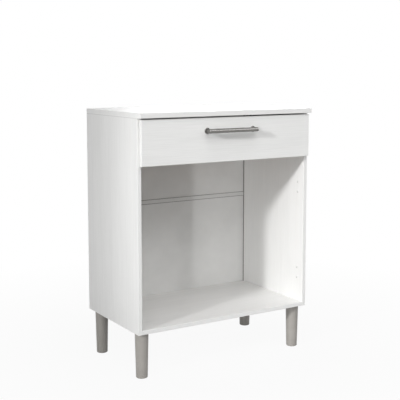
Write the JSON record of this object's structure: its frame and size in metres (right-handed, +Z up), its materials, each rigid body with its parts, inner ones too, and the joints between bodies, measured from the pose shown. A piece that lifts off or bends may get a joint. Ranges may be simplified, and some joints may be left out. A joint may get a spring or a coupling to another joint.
{
  "type": "microwave cart",
  "caption": "Small kitchen cabinet on tapered legs, with a full-width drawer over an open compartment and a flat top for a microwave oven.",
  "frame": {"origin": "on the floor, in the middle of the space that the closed cabinet fills", "axes": "+X to the right seen from the front, +Y to the back, +Z up"},
  "size_m": [0.6, 0.374, 0.765],
  "materials": {
    "white_board": "white melamine foil with a faint wood grain on particle board",
    "white_hardboard": "white lacquered hardboard",
    "white_profile": "white extruded plastic, satin",
    "leg_plastic": "warm light grey moulded plastic, satin",
    "handle_metal": "satin nickel",
    "rail_enamel": "white stoved enamel on rolled steel",
    "roller_nylon": "natural nylon",
    "zinc_steel": "zinc plated",
    "cam_alloy": "die-cast zinc",
    "dowel_wood": "plain beech",
    "soft_bumper": "clear soft plastic"
  },
  "bodies": {
    "carcass": {"top_panel": "white_board", "left_side": "white_board", "right_side": "white_board", "bottom_panel": "white_board", "back_upper": "white_hardboard", "back_lower": "white_hardboard", "back_joint_strip": "white_profile", "leg_front_left": "leg_plastic", "leg_front_right": "leg_plastic", "leg_back_left": "leg_plastic", "leg_back_right": "leg_plastic", "leg_studs": "zinc_steel", "leg_inserts": "zinc_steel", "top_cams": "cam_alloy", "top_cam_bolts": "zinc_steel", "top_dowels": "dowel_wood", "bottom_cams": "cam_alloy", "bottom_cam_bolts": "zinc_steel", "bottom_dowels": "dowel_wood", "cabinet_rail_left": "rail_enamel", "cabinet_rail_right": "rail_enamel", "cabinet_roller_rivets": "zinc_steel"},
    "drawer": {"drawer_front": "white_board", "drawer_side_left": "white_board", "drawer_side_right": "white_board", "drawer_back": "white_board", "drawer_bottom": "white_hardboard", "drawer_rail_left": "rail_enamel", "drawer_rail_right": "rail_enamel", "drawer_roller_rivets": "zinc_steel", "drawer_cams": "cam_alloy", "drawer_cam_bolts": "zinc_steel", "drawer_dowels": "dowel_wood", "drawer_bumpers": "soft_bumper", "handle_bar": "handle_metal", "handle_post_left": "handle_metal", "handle_post_right": "handle_metal"},
    "front_roller_left": {"cabinet_roller_left": "roller_nylon"},
    "rear_roller_left": {"drawer_roller_left": "roller_nylon"},
    "front_roller_right": {"cabinet_roller_right": "roller_nylon"},
    "rear_roller_right": {"drawer_roller_right": "roller_nylon"}
  },
  "joints": [
    {"name": "drawer_slide", "type": "slide", "parent": "carcass", "child": "drawer", "axis": [0, -1, 0], "range_m": [0, 0.225]},
    {"name": "front_roller_left_spin", "type": "hinge", "parent": "carcass", "child": "front_roller_left", "pos_m": [-0.2818, -0.133, 0.6417], "axis": [1, 0, 0], "continuous": true},
    {"name": "rear_roller_left_spin", "type": "hinge", "parent": "drawer", "child": "rear_roller_left", "pos_m": [-0.2818, 0.139, 0.6417], "axis": [1, 0, 0], "continuous": true},
    {"name": "front_roller_right_spin", "type": "hinge", "parent": "carcass", "child": "front_roller_right", "pos_m": [0.2818, -0.133, 0.6417], "axis": [1, 0, 0], "continuous": true},
    {"name": "rear_roller_right_spin", "type": "hinge", "parent": "drawer", "child": "rear_roller_right", "pos_m": [0.2818, 0.139, 0.6417], "axis": [1, 0, 0], "continuous": true}
  ],
  "couplings": [
    {"joint": "front_roller_left_spin", "follows": "drawer_slide", "rad_per_m": 90.909},
    {"joint": "rear_roller_left_spin", "follows": "drawer_slide", "rad_per_m": 90.909},
    {"joint": "front_roller_right_spin", "follows": "drawer_slide", "rad_per_m": 90.909},
    {"joint": "rear_roller_right_spin", "follows": "drawer_slide", "rad_per_m": 90.909}
  ]
}
